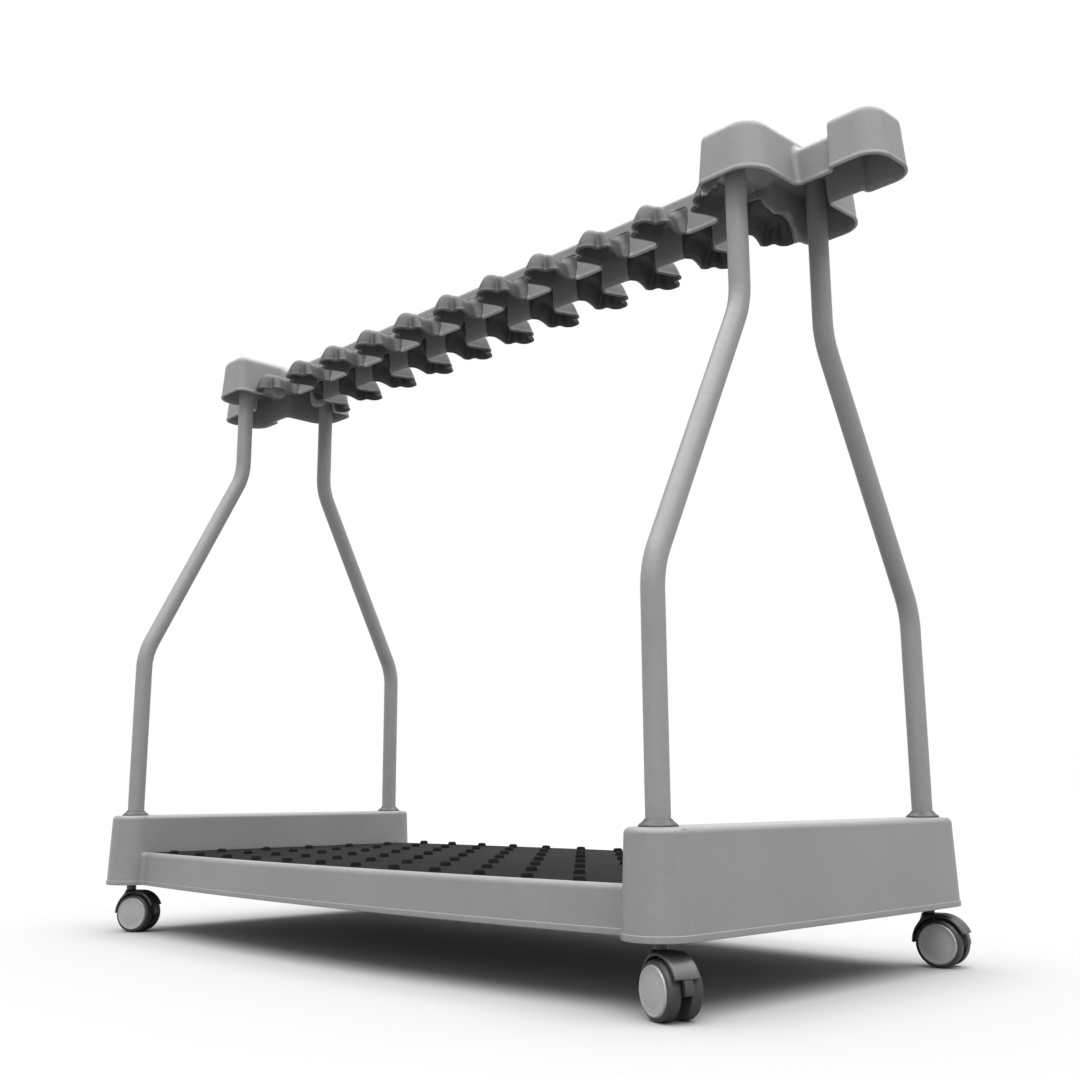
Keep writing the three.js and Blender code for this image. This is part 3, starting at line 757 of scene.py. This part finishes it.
# ------------------------------------------------------------------ casters
def hood_shape(x, y, z):
    """Caster hood in its own frame: stem on x = 0, axle on x = TRAIL."""
    rx, rz = x - TRAIL, z - WHEEL_R
    r = np.hypot(rx, rz)
    a0, a1 = math.radians(22), math.radians(180)
    # cover over the wheels: arc from the trailing tip to the leading edge
    above = np.maximum(rx * math.sin(a0) - rz * math.cos(a0), -rz)
    arc = rmax(np.abs(y) - HOOD_W, r - HOOD_R, 2.2)
    arc = np.maximum(arc, above)
    stem = rmax(np.hypot(x, y) - 7.4 + 0.02 * (z - 40), z - 51.6, 0.6)
    outer = rmin(arc, np.maximum(stem, 38 - z), 7.0)
    outer = np.maximum(np.maximum(outer, np.abs(y) - HOOD_W), z - 51.55)
    wheels = rmax(r - HOOD_RI, 4.0 - np.abs(y), 1.0)
    shell = np.maximum(outer, -wheels)
    # centre web that carries the axle
    low = np.maximum(rz * 0.7 + 0.72 * rx - 6.0, -1e3)
    web = rmax(np.maximum(r - (HOOD_R - 0.8), 0), np.abs(y) - 4.0, 0.6)
    web = rmax(np.maximum(r - (HOOD_R - 0.8), np.abs(y) - 4.0), np.where(rz < 0, np.maximum(-rz - 8.0 + 0.25 * np.abs(rx), r - 27), -9.0), 1.5)
    both = np.minimum(shell, web)
    both = np.maximum(both, 3.2 - np.hypot(x, y) + np.where(z < 35.5, 50, 0) * 0)
    return both


def make_caster(corner, sx, sy):
    place = (sx * LEG_X, sy * LEG_Y_LOW, 0)
    turn = SWIVEL[corner]
    body = f"caster_{corner}"

    v, f = HOOD_MESH
    make_object(f"caster_cover_{corner}", turned(v, turn, place), f, HOOD, body, [f"caster_hood_{corner}"], angle=60)

    profile = [(0, 36.3), (2.6, 36.3), (3.0, 36.8), (3.0, 51.7), (5.6, 51.7), (6.0, 52.1), (6.0, 59.5), (5.7, 59.8), (5.0, 59.9), (5.0, 84.0), (4.2, 84.8), (0, 84.8)]
    v, f, _ = lathe(profile, 40)
    make_object(f"caster_pin_{corner}", turned(v, turn, place), f, STEM, "frame", [f"caster_stem_{corner}"], angle=40)

    # wheel about its own axle, outward along +Z, then laid on its side
    prof = [(0, 13.2), (3.3, 13.2), (3.3, 4.6), (9, 4.6), (9.6, 5.4), (20.4, 5.4), (21.2, 4.7), (22.3, 4.7), (22.9, 5.1), (WHEEL_R, 6.2),
            (WHEEL_R, 12.9), (23.05, 13.8), (22.5, 14.9), (21.6, 15.7), (20.6, 16.1), (19.95, 16.2), (19.75, 16.0), (19.55, 16.2),
            (19.4, 16.9), (18.9, 17.45), (18.2, 17.6), (17.4, 17.35), (16.9, 17.2), (12, 17.85), (6, 18.3), (0, 18.5)]
    v, f, rows = lathe(prof, 72)
    index = [1 if r >= 16 else 0 for r in rows]
    for side, sign in (("a", -1), ("b", 1)):
        w = np.stack([v[:, 0], sign * v[:, 2], v[:, 1]], 1)
        flip = sign > 0
        ff = [tuple(reversed(q)) for q in f] if flip else f
        w = w + np.array([TRAIL, 0, WHEEL_R])
        make_object(f"caster_roller_{corner}_{side}", turned(w, turn, place), ff, [TYRE, CAP], f"wheel_{corner}_{side}",
                    [f"caster_wheel_{corner}_{side}"], index=index, angle=45)

    ax, af, _ = lathe([(0, -13.05), (2.6, -13.05), (3.0, -12.65), (3.0, 12.65), (2.6, 13.05), (0, 13.05)], 32)
    w = np.stack([ax[:, 0], ax[:, 2], -ax[:, 1]], 1) + np.array([TRAIL, 0, WHEEL_R])
    make_object(f"caster_spindle_{corner}", turned(w, turn, place), af, STEEL, body, [f"caster_axle_{corner}"], angle=40)


HOOD_MESH = net(hood_shape, (-20, -12.3, 10), (42, 12.3, 52), 0.95)
for corner, (sx, sy) in CORNERS.items():
    make_caster(corner, sx, sy)
